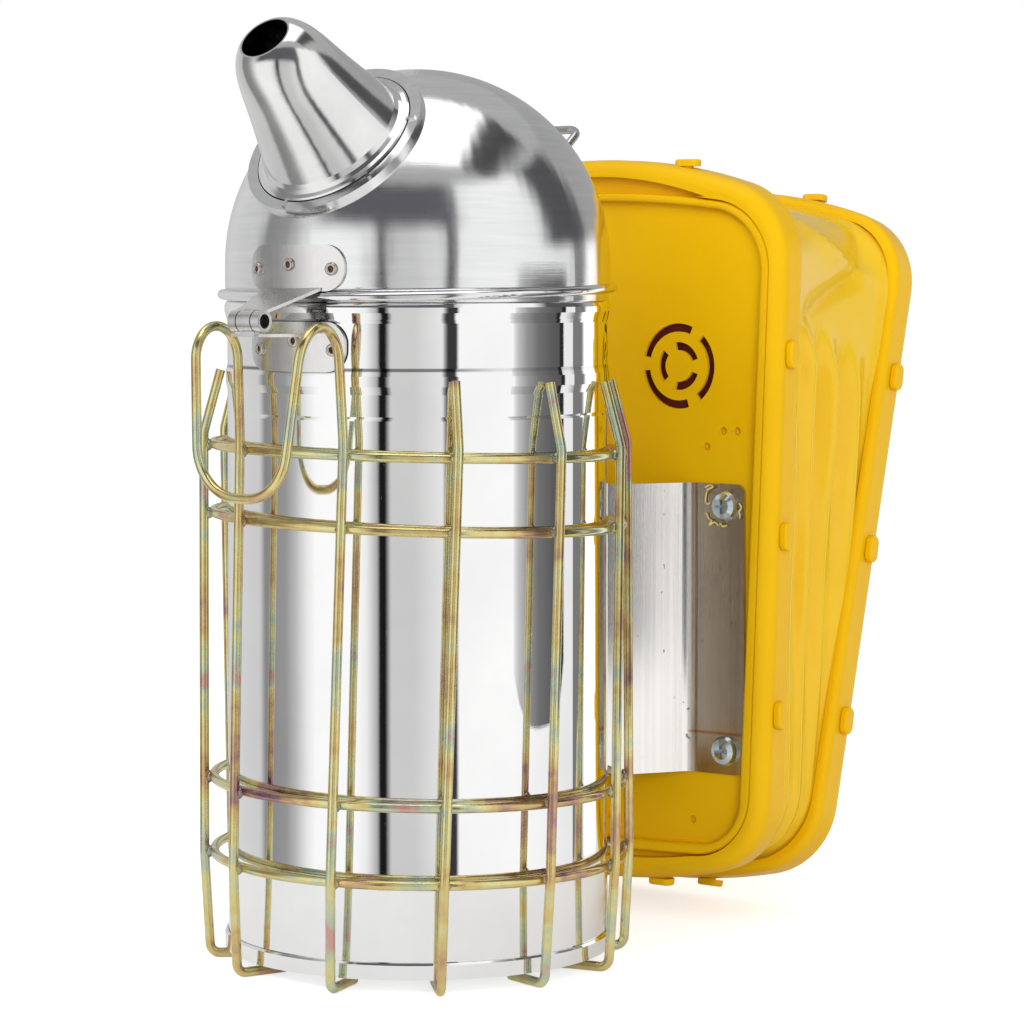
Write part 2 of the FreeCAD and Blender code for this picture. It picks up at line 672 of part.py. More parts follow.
def rear(shape):
    """Mirror a front piece to the back and lean it out by the wedge angle."""
    turned = shape.mirror(V(0, (rim_back + rear_front) / 2, 0), V(0, 1, 0))
    turned.translate(V(0, 0, -rear_drop))
    turned.rotate(V(0, rear_front, pivot_z), V(1, 0, 0), -wedge_angle)
    return turned


def make_skin():
    """Closed wedge of thin sheet from one board's edge to the other's."""
    layers = []
    for shrink in (skin_inset, skin_inset + skin_sheet):
        front = board_y + board_thickness + 0.3
        plate = flange(front, front + 0.7, -shrink)
        front_wire = end_wire(plate, front)
        back_wire = rear(front_wire)
        layers.append(Part.makeLoft([front_wire, back_wire], True, True))
    return layers[0].cut(layers[1])


def make_flap():
    """Intake flap that hangs behind the vent."""
    y = board_y + board_thickness + 0.35
    disc = cylinder(13.2, V(vent_x, y, vent_z), V(vent_x, y + 1.0, vent_z))
    tab = box(vent_x - 5, vent_x + 5, y, y + 1.0, vent_z + 8, vent_z + 18.5)
    flap = disc.fuse(tab)
    return flap.cut(cylinder(2.2, V(vent_x, y - 1, vent_z + 15.5), V(vent_x, y + 2, vent_z + 15.5)))


def make_flap_stud():
    """Stud that the flap hangs on."""
    y = board_y + board_thickness
    stem = cylinder(1.5, V(vent_x, board_y + 0.95, vent_z + 15.5), V(vent_x, y + 3.4, vent_z + 15.5))
    head = cylinder(3.2, V(vent_x, y + 3.2, vent_z + 15.5), V(vent_x, y + 4.1, vent_z + 15.5))
    return stem.fuse(head)


def make_nozzle():
    """Short outlet spigot through the front board, facing the pot's tube."""
    y = board_y
    outer = cylinder(5.0, V(0, y - 8, outlet_z), V(0, y + 5, outlet_z))
    collar = cylinder(7.0, V(0, y + board_thickness + 0.05, outlet_z), V(0, y + board_thickness + 1.5, outlet_z))
    return outer.fuse(collar).cut(cylinder(4.0, V(0, y - 10, outlet_z), V(0, y + 8, outlet_z)))


def make_spring():
    """Return spring between the boards, as a plain sleeve of its outer size."""
    front = board_y + board_thickness + 0.3
    sleeve = cylinder(15.0, V(0, front, 112.0), V(0, front + 60, 112.0))
    sleeve = sleeve.cut(cylinder(12.5, V(0, front, 112.0), V(0, front + 60, 112.0)))
    return sleeve.cut(rear(box(-60, 60, 0, front, 0, 230)))


# ---------------------------------------------------------------- write nodes
pot_rivets = leaf_rivets(pot_rivet_spots, pot_radius + bead_rise + 0.1 + wall, 2 * wall + 0.6)
lid_rivets = leaf_rivets(lid_rivet_spots, dome_radius + 0.08 + wall, wall + dome_wall + 0.1)
bracket_rivets = [rivet(V(0, pot_radius + 0.05 + bracket_sheet, z), V(0, 1, 0), 2 * wall + 0.1)
                  for z in (58.0, 106.0)]

save("fire_pot", make_fire_pot().cut(Part.makeCompound(pot_rivets + bracket_rivets)))
save("pot_base", make_pot_base())
save("air_inlet_tube", make_air_inlet())
save("fuel_grate", make_grate())
save("pot_hinge_leaf", make_pot_leaf().cut(Part.makeCompound(pot_rivets)))
save("pot_hinge_rivets", Part.makeCompound(pot_rivets))

save("lid_dome", make_dome(lid_rivets))
save("spout", make_spout())
save("lid_handle", make_handle())
save("lid_hinge_leaf", make_lid_leaf().cut(Part.makeCompound(lid_rivets)))
save("lid_hinge_rivets", Part.makeCompound(lid_rivets))
save("hinge_pin", cylinder(pin_radius, V(pin_recess - knuckle_half, hinge_y, hinge_z),
                           V(knuckle_half - pin_recess, hinge_y, hinge_z)))

for number, (ring_height, ring_tilt) in enumerate(zip(ring_heights, ring_tilts), 1):
    save("guard_ring_%d" % number, make_ring(ring_height, ring_tilt))
save("guard_hook_wire", make_hook())
for number, upright_angle in enumerate(upright_angles, 1):
    save("guard_upright_right_%d" % number, make_upright(upright_angle))
    save("guard_upright_left_%d" % number, make_upright(-upright_angle))

save("bellows_bracket", make_bracket().cut(Part.makeCompound(bracket_rivets)))
save("bracket_rivets", Part.makeCompound(bracket_rivets))
save("bracket_screws", Part.makeCompound([make_screw(s * screw_x, z)
                                          for s in (-1, 1) for z in screw_heights]))

pegs = make_pegs()
rim = make_rim().cut(Part.makeCompound(pegs))
save("front_board", make_board(True))
save("front_rim", rim)
save("front_pegs", Part.makeCompound(pegs))
save("air_nozzle", make_nozzle())
save("valve_flap", make_flap())
save("valve_stud", make_flap_stud())
save("bellows_skin", make_skin())
save("bellows_spring", make_spring())
save("rear_board", rear(make_board(False)))
save("rear_rim", rear(rim))
save("rear_pegs", rear(Part.makeCompound(pegs)))
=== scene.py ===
import bpy
import json
import math
import random
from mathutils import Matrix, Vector, geometry


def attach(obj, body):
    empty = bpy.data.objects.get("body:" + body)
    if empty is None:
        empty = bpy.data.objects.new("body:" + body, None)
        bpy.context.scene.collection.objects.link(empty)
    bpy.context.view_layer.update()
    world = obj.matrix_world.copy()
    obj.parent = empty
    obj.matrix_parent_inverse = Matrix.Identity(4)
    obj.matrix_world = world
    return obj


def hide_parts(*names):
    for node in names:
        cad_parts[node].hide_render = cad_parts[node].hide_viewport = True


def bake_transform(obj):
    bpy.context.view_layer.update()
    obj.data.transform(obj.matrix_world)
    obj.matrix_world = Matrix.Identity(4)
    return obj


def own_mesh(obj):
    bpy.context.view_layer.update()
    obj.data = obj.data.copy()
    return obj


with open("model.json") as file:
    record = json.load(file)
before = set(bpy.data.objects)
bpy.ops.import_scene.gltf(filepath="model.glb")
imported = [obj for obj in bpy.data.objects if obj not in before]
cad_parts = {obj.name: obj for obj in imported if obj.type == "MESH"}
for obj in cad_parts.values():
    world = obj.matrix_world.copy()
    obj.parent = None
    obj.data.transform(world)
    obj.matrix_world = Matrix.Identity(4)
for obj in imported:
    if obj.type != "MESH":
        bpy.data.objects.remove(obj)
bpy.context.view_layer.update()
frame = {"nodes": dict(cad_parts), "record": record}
MM = 0.001

# ------------------------------------------------------------------ camera
AZIMUTH = math.radians(38.0)         # direction of the camera from the front, towards the right
DISTANCE = 0.886                     # from the pot's axis, in metres
EYE = 0.1807                         # height of the camera
TURN = math.radians(1.6)             # how far it looks past the axis
PITCH = math.radians(2.05)           # how far it looks down
LENS = 118.37
SHIFT = -0.1177


def make_camera():
    data = bpy.data.cameras.new("camera")
    data.sensor_width = 36.0
    data.lens = LENS
    data.shift_y = SHIFT
    data.clip_start, data.clip_end = 0.05, 60.0
    camera = bpy.data.objects.new("camera", data)
    camera.location = (DISTANCE * math.sin(AZIMUTH), -DISTANCE * math.cos(AZIMUTH), EYE)
    heading = AZIMUTH - TURN
    ahead = Vector((-math.sin(heading), math.cos(heading), 0.0))
    ahead = ahead * math.cos(PITCH) - Vector((0, 0, math.sin(PITCH)))
    camera.rotation_euler = ahead.to_track_quat("-Z", "Y").to_euler()
    bpy.context.scene.collection.objects.link(camera)
    bpy.context.scene.camera = camera


make_camera()


# ------------------------------------------------------------------ node graphs
class Graph:
    """A material and short ways to add nodes to it."""

    def __init__(self, name):
        self.material = bpy.data.materials.new(name)
        self.material.use_nodes = True
        self.tree = self.material.node_tree
        self.tree.nodes.clear()
        self.out = self.tree.nodes.new("ShaderNodeOutputMaterial")
        self.shader = self.tree.nodes.new("ShaderNodeBsdfPrincipled")
        self.tree.links.new(self.shader.outputs[0], self.out.inputs[0])
        self.coords = self.tree.nodes.new("ShaderNodeTexCoord").outputs["Object"]

    def put(self, node, name, value):
        socket = node.inputs[name]
        if isinstance(value, bpy.types.NodeSocket):
            self.tree.links.new(value, socket)
        else:
            socket.default_value = value

    def add(self, kind, inputs=None, **settings):
        node = self.tree.nodes.new("ShaderNode" + kind)
        for name, value in settings.items():
            setattr(node, name, value)
        for name, value in (inputs or {}).items():
            self.put(node, name, value)
        return node

    def set(self, **values):
        for name, value in values.items():
            self.put(self.shader, name.replace("_", " "), value)

    def math(self, operation, a, b=0.0):
        node = self.add("Math", operation=operation)
        self.put(node, 0, a)
        self.put(node, 1, b)
        return node.outputs[0]

    def scaled(self, scale, vector=None, rotation=(0, 0, 0)):
        inputs = {"Vector": vector or self.coords, "Scale": scale, "Rotation": rotation}
        return self.add("Mapping", inputs).outputs[0]

    def noise(self, scale, vector=None, detail=3.0, rough=0.55, distortion=0.0):
        inputs = {"Vector": vector or self.coords, "Scale": scale, "Detail": detail,
                  "Roughness": rough, "Distortion": distortion}
        return self.add("TexNoise", inputs).outputs["Fac"]

    def ramp(self, value, stops):
        node = self.add("ValToRGB", {"Fac": value})
        ramp = node.color_ramp
        while len(ramp.elements) < len(stops):
            ramp.elements.new(0.5)
        for element, (place, colour) in zip(ramp.elements, stops):
            element.position = place
            element.color = (*colour, 1.0) if len(colour) == 3 else colour
        return node.outputs[0]

    def span(self, value, low, high, start=0.0, end=1.0):
        inputs = {"Value": value, "From Min": low, "From Max": high, "To Min": start, "To Max": end}
        return self.add("MapRange", inputs).outputs[0]

    def mix(self, share, a, b):
        node = self.add("Mix", data_type="RGBA")
        self.put(node, 0, share)
        self.put(node, 6, a if isinstance(a, bpy.types.NodeSocket) else (*a, 1.0))
        self.put(node, 7, b if isinstance(b, bpy.types.NodeSocket) else (*b, 1.0))
        return node.outputs[2]

    def bump(self, height, strength, distance, below=None):
        inputs = {"Height": height, "Strength": strength, "Distance": distance}
        if below:
            inputs["Normal"] = below
        return self.add("Bump", inputs).outputs[0]

    def around(self):
        """Distance from the pot's axis, angle round it and height, in metres and radians."""
        parts = self.add("SeparateXYZ", {"Vector": self.coords}).outputs
        radius = self.math("SQRT", self.math("ADD", self.math("MULTIPLY", parts[0], parts[0]),
                                             self.math("MULTIPLY", parts[1], parts[1])))
        angle = self.math("ARCTAN2", parts[1], parts[0])
        return radius, angle, parts[2]


REFLECTION_LINE_HEIGHT = 0.1560                      # height of the painted dark reflection line above the pot's bead


def polished_steel():
    g = Graph("polished_steel")
    _, angle, height = g.around()
    sheet = g.add("CombineXYZ", {"X": g.math("MULTIPLY", angle, 0.05), "Y": 0.0, "Z": height}).outputs[0]
    lines = g.noise(1.0, g.scaled((120, 1, 9000), sheet), 2.0)
    clouds = g.noise(26.0, sheet, 4.0)
    scratches = g.noise(1.0, g.scaled((4200, 1, 300), sheet, (0, 0.5, 0)), 1.0)
    marks = g.span(scratches, 0.70, 0.78)
    waves = g.noise(1.0, g.scaled((60, 1, 9), sheet), 1.0)
    tint = g.ramp(clouds, [(0.3, (0.80, 0.80, 0.80)), (0.7, (0.88, 0.88, 0.875))])
    # painted reflection: a dark line round the pot just above its bead, stronger on one side, stands in for
    # a dark band that the polished steel mirrors
    painted_reflection_line = g.span(g.math("ABSOLUTE", g.math("SUBTRACT", height, REFLECTION_LINE_HEIGHT)), 0.0002, 0.0006, 0.85, 0.0)
    painted_reflection_line = g.math("MULTIPLY", painted_reflection_line, g.span(angle, -0.75, -0.50, 1.0, 0.25))
    g.set(Base_Color=g.mix(painted_reflection_line, tint, (0.10, 0.10, 0.10)),
          Metallic=1.0, Roughness=g.math("ADD", g.span(clouds, 0.3, 0.8, 0.010, 0.030),
                                         g.math("MULTIPLY", marks, 0.12)))
    normal = g.bump(waves, 0.02, 0.002)
    normal = g.bump(lines, 0.012, 0.0002, normal)
    g.set(Normal=normal)
    return g.material


def spun_steel():
    g = Graph("spun_steel")
    radius, angle, height = g.around()
    path = g.math("SUBTRACT", height, radius)
    ring = g.add("CombineXYZ", {"X": g.math("MULTIPLY", angle, 0.6), "Y": 0.0, "Z": path}).outputs[0]
    fine = g.noise(1.0, g.scaled((3, 1, 9000), ring), 3.0)
    broad = g.noise(1.0, g.scaled((2.5, 1, 420), ring), 3.0)
    clouds = g.noise(35.0, None, 4.0)
    dents = g.noise(1.0, g.scaled((14, 1, 40), ring), 1.0)
    g.set(Base_Color=g.ramp(broad, [(0.3, (0.72, 0.725, 0.73)), (0.7, (0.80, 0.80, 0.80))]),
          Metallic=1.0, Roughness=g.math("ADD", g.span(fine, 0.3, 0.7, 0.09, 0.13),
                                         g.span(clouds, 0.3, 0.7, 0.0, 0.04)),
          Anisotropic=0.35)
    g.put(g.shader, "Tangent", g.add("Tangent", direction_type="RADIAL", axis="Z").outputs[0])
    normal = g.bump(dents, 0.03, 0.004)
    normal = g.bump(broad, 0.02, 0.0003, normal)
    g.set(Normal=g.bump(fine, 0.09, 0.0001, normal))
    return g.material


SPOUT_TILT = math.radians(48.0)      # the spout leans forward by this from upright


def satin_steel():
    g = Graph("satin_steel")
    turned = g.scaled((1, 1, 1), None, (-SPOUT_TILT, 0, 0))
    parts = g.add("SeparateXYZ", {"Vector": turned}).outputs
    along = g.add("CombineXYZ", {"X": 0.0, "Y": 0.0, "Z": parts[2]}).outputs[0]
    fine = g.noise(5200.0, along, 2.0)
    clouds = g.noise(60.0, None, 5.0)
    scratches = g.noise(1.0, g.scaled((260, 5200, 900), None, (0.6, 0.3, 0.2)), 1.0)
    g.set(Base_Color=g.ramp(clouds, [(0.3, (0.66, 0.66, 0.66)), (0.7, (0.78, 0.78, 0.77))]),
          Metallic=1.0, Roughness=g.math("ADD", g.span(clouds, 0.3, 0.7, 0.10, 0.15),
                                         g.span(scratches, 0.68, 0.76, 0.0, 0.12)))
    g.set(Normal=g.bump(fine, 0.06, 0.0001))
    return g.material


def sheet_steel(name, tint, rough, grain):
    """Plain sheet with a faint grain, for leaves, base and inner parts."""
    g = Graph(name)
    lines = g.noise(1.0, g.scaled(grain), 2.0)
    clouds = g.noise(90.0, None, 5.0)
    dark = tuple(c * 0.84 for c in tint)
    g.set(Base_Color=g.ramp(clouds, [(0.25, dark), (0.75, tint)]), Metallic=1.0,
          Roughness=g.math("ADD", g.span(lines, 0.3, 0.7, rough, rough + 0.08),
                           g.span(clouds, 0.3, 0.7, 0.0, 0.06)))
    g.set(Normal=g.bump(lines, 0.10, 0.0001))
    return g.material


BRACKET_BEND = (0.0300, 0.0315)      # the part that lies on the board starts here
# two thin brownish bands across the part on the board: height, colour and strength of each
BROWN_BANDS = ((0.0526, (0.40, 0.17, 0.07), 0.9), (0.1192, (0.45, 0.36, 0.26), 0.45))


def bracket_steel():
    """Brushed sheet with a painted darker reflection over the part on the board, two thin brownish bands
    across that part and small specks.
    """
    g = Graph("bracket_steel")
    lines = g.noise(1.0, g.scaled((5200, 5200, 14)), 3.0)
    streaks = g.noise(1.0, g.scaled((900, 900, 6)), 3.0)
    clouds = g.noise(45.0, None, 5.0)
    tint = g.ramp(streaks, [(0.2, (0.82, 0.80, 0.76)), (0.8, (0.93, 0.915, 0.88))])
    # painted reflection: the part on the board is tinted darker and browner to stand in for the dark
    # surroundings it mirrors
    painted_dark_reflection = g.ramp(streaks, [(0.2, (0.45, 0.39, 0.32)), (0.8, (0.54, 0.48, 0.40))])
    parts = g.add("SeparateXYZ", {"Vector": g.coords}).outputs
    right = g.span(parts[0], *BRACKET_BEND)
    tint = g.mix(right, tint, painted_dark_reflection)
    for level, colour, share in BROWN_BANDS:
        offset = g.math("ABSOLUTE", g.math("SUBTRACT", parts[2], level))
        band = g.math("MULTIPLY", g.span(offset, 0.0001, 0.0006, share, 0.0), right)
        tint = g.mix(band, tint, colour)
    specks = g.span(g.noise(520.0, None, 1.0), 0.765, 0.785, 0.0, 0.7)
    tint = g.mix(specks, tint, (0.10, 0.09, 0.08))
    g.set(Base_Color=tint, Metallic=1.0,
          Roughness=g.math("ADD", g.span(lines, 0.3, 0.7, 0.17, 0.25),
                           g.span(clouds, 0.3, 0.7, 0.0, 0.06)))
    g.set(Normal=g.bump(lines, 0.10, 0.0001, g.bump(streaks, 0.03, 0.0002)))
    return g.material


def passivated_wire(name, weld):
    """Zinc wire with yellow, pink and green passivation; greyer where it was welded."""
    g = Graph(name)
    broad = g.noise(48.0, None, 3.0, 0.5, 0.4)
    patch = g.noise(190.0, None, 2.0)
    mixed = g.math("ADD", g.math("MULTIPLY", broad, 0.75), g.math("MULTIPLY", patch, 0.25))
    tint = g.ramp(mixed, [(0.32, (0.36, 0.19, 0.25)), (0.39, (0.56, 0.37, 0.20)),
                          (0.45, (0.68, 0.53, 0.22)), (0.52, (0.70, 0.64, 0.31)),
                          (0.59, (0.50, 0.58, 0.42)), (0.66, (0.62, 0.36, 0.30))])
    if weld:
        tint = g.mix(g.span(patch, 0.35, 0.65, 0.45, 0.95), tint, (0.26, 0.28, 0.27))
    fine = g.noise(1900.0, None, 2.0)
    g.set(Base_Color=tint, Metallic=1.0,
          Roughness=g.math("ADD", g.span(fine, 0.3, 0.7, 0.12, 0.20),
                           g.span(patch, 0.35, 0.65, 0.0, 0.08)))
    g.set(Normal=g.bump(fine, 0.10, 0.0001, g.bump(patch, 0.12, 0.0003)))
    return g.material


def plastic(name, tint, rough, deep, shine=0.16):
    """Moulded yellow plastic with a faint orange peel and small scuffs."""
    g = Graph(name)
    clouds = g.noise(38.0, None, 5.0)
    peel = g.noise(900.0, None, 2.0)
    scuffs = g.noise(1.0, g.scaled((900, 900, 90), None, (0.2, 0.1, 0.3)), 2.0)
    g.set(Base_Color=g.ramp(clouds, [(0.3, deep), (0.7, tint)]),
          Roughness=g.math("ADD", g.span(clouds, 0.3, 0.7, rough, rough + 0.07),
                           g.span(scuffs, 0.66, 0.75, 0.0, 0.10)),
          Subsurface_Weight=0.08, Subsurface_Scale=0.004, Subsurface_Radius=(1.0, 0.6, 0.1),
          Specular_IOR_Level=shine)
    g.set(Normal=g.bump(peel, 0.06, 0.0002))
    return g.material


def rubber(name, tint):
    g = Graph(name)
    clouds = g.noise(200.0, None, 4.0)
    low = tuple(c * 0.7 for c in tint)
    g.set(Base_Color=g.ramp(clouds, [(0.3, low), (0.7, tint)]),
          Roughness=g.span(clouds, 0.3, 0.7, 0.55, 0.75))
    g.set(Normal=g.bump(g.noise(1500.0, None, 3.0), 0.2, 0.0002))
    return g.material


LOOK = {
    "polished_steel": polished_steel(),
    "spun_steel": spun_steel(),
    "satin_steel": satin_steel(),
    "leaf_steel": sheet_steel("leaf_steel", (0.80, 0.79, 0.78), 0.17, (900, 900, 120)),
    "rivet_steel": sheet_steel("rivet_steel", (0.62, 0.58, 0.54), 0.20, (1500, 1500, 1500)),
    "handle_steel": sheet_steel("handle_steel", (0.60, 0.60, 0.60), 0.20, (700, 200, 200)),
    "passivated_wire": passivated_wire("passivated_wire", False),
    "bracket_steel": bracket_steel(),
    "screw_zinc": sheet_steel("screw_zinc", (0.66, 0.78, 0.88), 0.11, (1800, 1800, 1800)),
    "yellow_plastic": plastic("yellow_plastic", (0.90, 0.528, 0.003), 0.28, (0.87, 0.498, 0.002)),
    "yellow_vinyl": plastic("yellow_vinyl", (0.90, 0.585, 0.024), 0.15, (0.86, 0.545, 0.014), 0.34),
    "spring_steel": sheet_steel("spring_steel", (0.42, 0.42, 0.43), 0.30, (800, 800, 800)),
    "flap_rubber": rubber("flap_rubber", (0.17, 0.016, 0.008)),
    "dark_pin": sheet_steel("dark_pin", (0.035, 0.033, 0.032), 0.45, (900, 900, 900)),
    "plain_steel": sheet_steel("plain_steel", (0.56, 0.56, 0.56), 0.30, (600, 600, 600)),
}


slots = {row["node"]: row["material_slot"] for row in frame["record"]["subparts"]}
for name, node in frame["nodes"].items():
    look = LOOK[slots.get(name, "plain_steel")]
    node.data.materials.clear()
    node.data.materials.append(LOOK["dark_pin"] if name == "hinge_pin" else look)

# ------------------------------------------------------------------ pieces


def new_piece(name, points, faces, looks):
    """Mesh object in metres from points in millimetres."""
    mesh = bpy.data.meshes.new(name)
    mesh.from_pydata([Vector(p) * MM for p in points], [], faces)
    for look in looks:
        mesh.materials.append(look)
    mesh.shade_smooth()
    thing = bpy.data.objects.new(name, mesh)
    bpy.context.scene.collection.objects.link(thing)
    return thing


def tube(path, radius, sides=12):
    """Points and faces of a round bar along a path; the radius shrinks at both ends."""
    points, faces = [], []
    normal = Vector((0.31, 0.17, 0.93))
    count = len(path)
    for i, spot in enumerate(path):
        ahead = (path[min(i + 1, count - 1)] - path[max(i - 1, 0)]).normalized()
        normal = (normal - ahead * normal.dot(ahead)).normalized()
        across = ahead.cross(normal)
        end = min(i, count - 1 - i)
        girth = radius * (0.55 if end == 0 else 1.0)
        for k in range(sides):
            turn = 2 * math.pi * k / sides
            points.append(spot + (normal * math.cos(turn) + across * math.sin(turn)) * girth)
    for i in range(count - 1):
        for k in range(sides):
            a, b = i * sides + k, i * sides + (k + 1) % sides
            faces.append((a, b, b + sides, a + sides))
    faces.append(tuple(range(sides))[::-1])
    faces.append(tuple(range((count - 1) * sides, count * sides)))
    return points, faces


def joined(parts):
    """One list of points and faces from several."""
    points, faces = [], []
    for part_points, part_faces in parts:
        base = len(points)
        points += part_points
        faces += [tuple(base + i for i in face) for face in part_faces]
    return points, faces


def turned(profile, place, out, sides=28):
    """Points and faces of a profile (radius, height) turned about an axis through place."""
    out = out.normalized()
    side = out.orthogonal().normalized()
    other = out.cross(side)
    points, faces = [], []
    for r, h in profile:
        for k in range(sides):
            turn = 2 * math.pi * k / sides
            points.append(place + out * h + (side * math.cos(turn) + other * math.sin(turn)) * r)
    for i in range(len(profile) - 1):
        for k in range(sides):
            a, b = i * sides + k, i * sides + (k + 1) % sides
            faces.append((a, b, b + sides, a + sides))
    faces.append(tuple(range(sides))[::-1])
    faces.append(tuple(range((len(profile) - 1) * sides, len(profile) * sides)))
    return points, faces


def islands(node):
    """Groups of points of the separate solids in a CAD node, in millimetres."""
    mesh = frame["nodes"][node].data
    world = frame["nodes"][node].matrix_world
    group = list(range(len(mesh.vertices)))

    def root(i):
        while group[i] != i:
            group[i] = group[group[i]]
            i = group[i]
        return i

    for edge in mesh.edges:
        a, b = root(edge.vertices[0]), root(edge.vertices[1])
        group[a] = b
    spots = [world @ v.co / MM for v in mesh.vertices]
    near = {}
    for i, spot in enumerate(spots):
        key = (round(spot.x, 2), round(spot.y, 2), round(spot.z, 2))
        if key in near:
            group[root(i)] = root(near[key])
        near[key] = i
    found = {}
    for i, spot in enumerate(spots):
        found.setdefault(root(i), []).append(spot)
    return list(found.values())


# ---- bellows sheet
FRONT_EDGE = 90.0            # where the sheet starts, inside the front rim
RIM_BACK = 93.2
REAR_FRONT = 108.0
REAR_DROP = 3.0
WEDGE = math.radians(12.2)
PIVOT = Vector((0.0, 108.0, 14.0))
SHEET_OUT = 1.9              # the sheet hugs the inner edges of both rims
SHEET_FLARE = 1.1            # the sheet spreads into the rear rim
SHEET_AROUND, SHEET_ACROSS = 360, 96


def to_rear(spot):
    """The matching point of the rear board."""
    y = RIM_BACK + REAR_FRONT - spot.y - PIVOT.y
    z = spot.z - REAR_DROP - PIVOT.z
    return Vector((spot.x, PIVOT.y + y * math.cos(WEDGE) + z * math.sin(WEDGE),
                   PIVOT.z - y * math.sin(WEDGE) + z * math.cos(WEDGE)))


def sheet_outline():
    """Evenly spaced points of the sheet's front edge, from the CAD sheet's own edge."""
    node = frame["nodes"]["bellows_skin"]
    spots = [node.matrix_world @ v.co / MM for v in node.data.vertices]
    first = min(p.y for p in spots)
    flat = [Vector((p.x, p.z)) for p in spots if p.y < first + 0.01]
    hull = [flat[i] for i in geometry.convex_hull_2d(flat)]
    start = min(range(len(hull)), key=lambda i: (hull[i].y, abs(hull[i].x)))
    hull = hull[start:] + hull[:start + 1]
    lengths = [0.0]
    for a, b in zip(hull, hull[1:]):
        lengths.append(lengths[-1] + (b - a).length)
    points, k = [], 0
    for i in range(SHEET_AROUND):
        want = lengths[-1] * i / SHEET_AROUND
        while lengths[k + 1] < want:
            k += 1
        share = (want - lengths[k]) / (lengths[k + 1] - lengths[k])
        points.append(hull[k].lerp(hull[k + 1], share))
    return points


def ease(value, low, high):
    t = max(0.0, min(1.0, (value - low) / (high - low)))
    return t * t * (3 - 2 * t)


def from_line(spot, line):
    """Distance from a point to a broken line, and the share of the way along it."""
    best, share = 1e9, 0.0
    total = sum((b - a).length for a, b in zip(line, line[1:]))
    run = 0.0
    for a, b in zip(line, line[1:]):
        d = b - a
        t = max(0.0, min(1.0, (spot - a).dot(d) / d.length_squared))
        gap = (spot - a - d * t).length
        if gap < best:
            best, share = gap, (run + t * d.length) / total
        run += d.length
    return best, share


CORNER_FOLD = [Vector((0.0, 198.0)), Vector((19.0, 193.0)), Vector((37.0, 185.5))]
UNDER_FOLD = [Vector((37.0, 184.5)), Vector((18.5, 173.0)), Vector((8.0, 165.0)), Vector((0.0, 156.0))]
REAR_FOLD = [Vector((37.0, 185.5)), Vector((44.0, 192.0)), Vector((52.0, 201.0))]
PINCH = Vector((38.0, 186.0))


def side_fold(share, height, shift):
    """How far the sheet's side stands out, in mm, at a share of the way to the rear board."""
    gap = 14.8 + (height - 14.0) * math.tan(WEDGE)
    spot = Vector((share * gap, height))
    first = 0.31 + (151.0 - height) * 0.0024 + 0.012 * math.sin(height * 0.055 + shift)
    phase = (share - first) / 0.24
    crest = (0.5 + 0.5 * math.cos(2 * math.pi * phase)) ** 1.25
    size = 0.8 + 4.4 * ease(gap, 15.0, 46.0)
    wave = 1.0 + 0.25 * math.sin(height * 0.083 + 2.1 * math.floor(phase + 0.5) + shift)
    low = 1.0 - ease(height + 10.0 * share, 158.0, 176.0)
    out = size * wave * (crest - 0.5) * low
    d, along = from_line(spot, CORNER_FOLD)
    out += 3.6 * math.exp(-d / 4.5) * (0.35 + 0.65 * math.sin(math.pi * along * 0.8))
    d, along = from_line(spot, UNDER_FOLD)
    out -= 5.2 * math.exp(-d / 3.4) * (1.0 - 0.6 * along)
    d, along = from_line(spot, REAR_FOLD)
    out -= 4.2 * math.exp(-d / 3.4)
    out += 3.2 * math.exp(-((spot - PINCH).length / 4.0) ** 2)
    out -= 2.6 * math.sin(math.pi * share) * ease(height, 20.0, 120.0)
    return out


def top_fold(share, x):
    """How far the sheet's top stands up, in mm."""
    sag = -2.2 * math.sin(math.pi * share) * (1.0 - (x / 60.0) ** 2)
    wrinkle = 0.5 * math.sin(share * 9.0 + 0.05 * x) * math.sin(math.pi * share)
    return sag + wrinkle


def make_sheet():
    outline = sheet_outline()
    count = len(outline)
    points, faces = [], []
    for j in range(SHEET_ACROSS + 1):
        share = j / SHEET_ACROSS
        hold = math.sin(math.pi * share) ** 0.5 if 0 < j < SHEET_ACROSS else 0.0
        for i, flat in enumerate(outline):
            run = (outline[(i + 1) % count] - outline[i - 1]).normalized()
            out = Vector((run.y, -run.x))
            if out.dot(flat - Vector((0.0, 107.0))) < 0:
                out = -out
            near = Vector((flat.x, FRONT_EDGE, flat.y))
            far = to_rear(Vector((flat.x, FRONT_EDGE, flat.y)))
            spot = near.lerp(far, share) + Vector((out.x, 0.0, out.y)) * SHEET_OUT
            sideways = ease(abs(out.x), 0.25, 0.8)
            shift = 0.0 if flat.x > 0 else 1.9
            height = flat.y
            lift = side_fold(share, height, shift) * sideways
            if out.y > 0:
                lift += top_fold(share, flat.x) * (1.0 - sideways)
            else:
                lift -= 0.9 * math.sin(math.pi * share) * (1.0 - sideways)
            lift = lift * hold + SHEET_FLARE * ease(share, 0.86, 0.97)
            points.append(spot + Vector((out.x, 0.0, out.y)) * lift)
    for j in range(SHEET_ACROSS):
        for i in range(count):
            k = (i + 1) % count
            faces.append((j * count + i, j * count + k, (j + 1) * count + k, (j + 1) * count + i))
    sheet = new_piece("bellows_sheet", points, faces, [LOOK["yellow_vinyl"]])
    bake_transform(sheet)
    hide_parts("bellows_skin")


# ---- spring inside the bellows
SPRING_TURNS = 6.5
SPRING_RADIUS = 13.7
SPRING_WIRE = 1.15           # radius of the wire
SPRING_HEIGHT = 112.0
SPRING_FRONT = 88.9


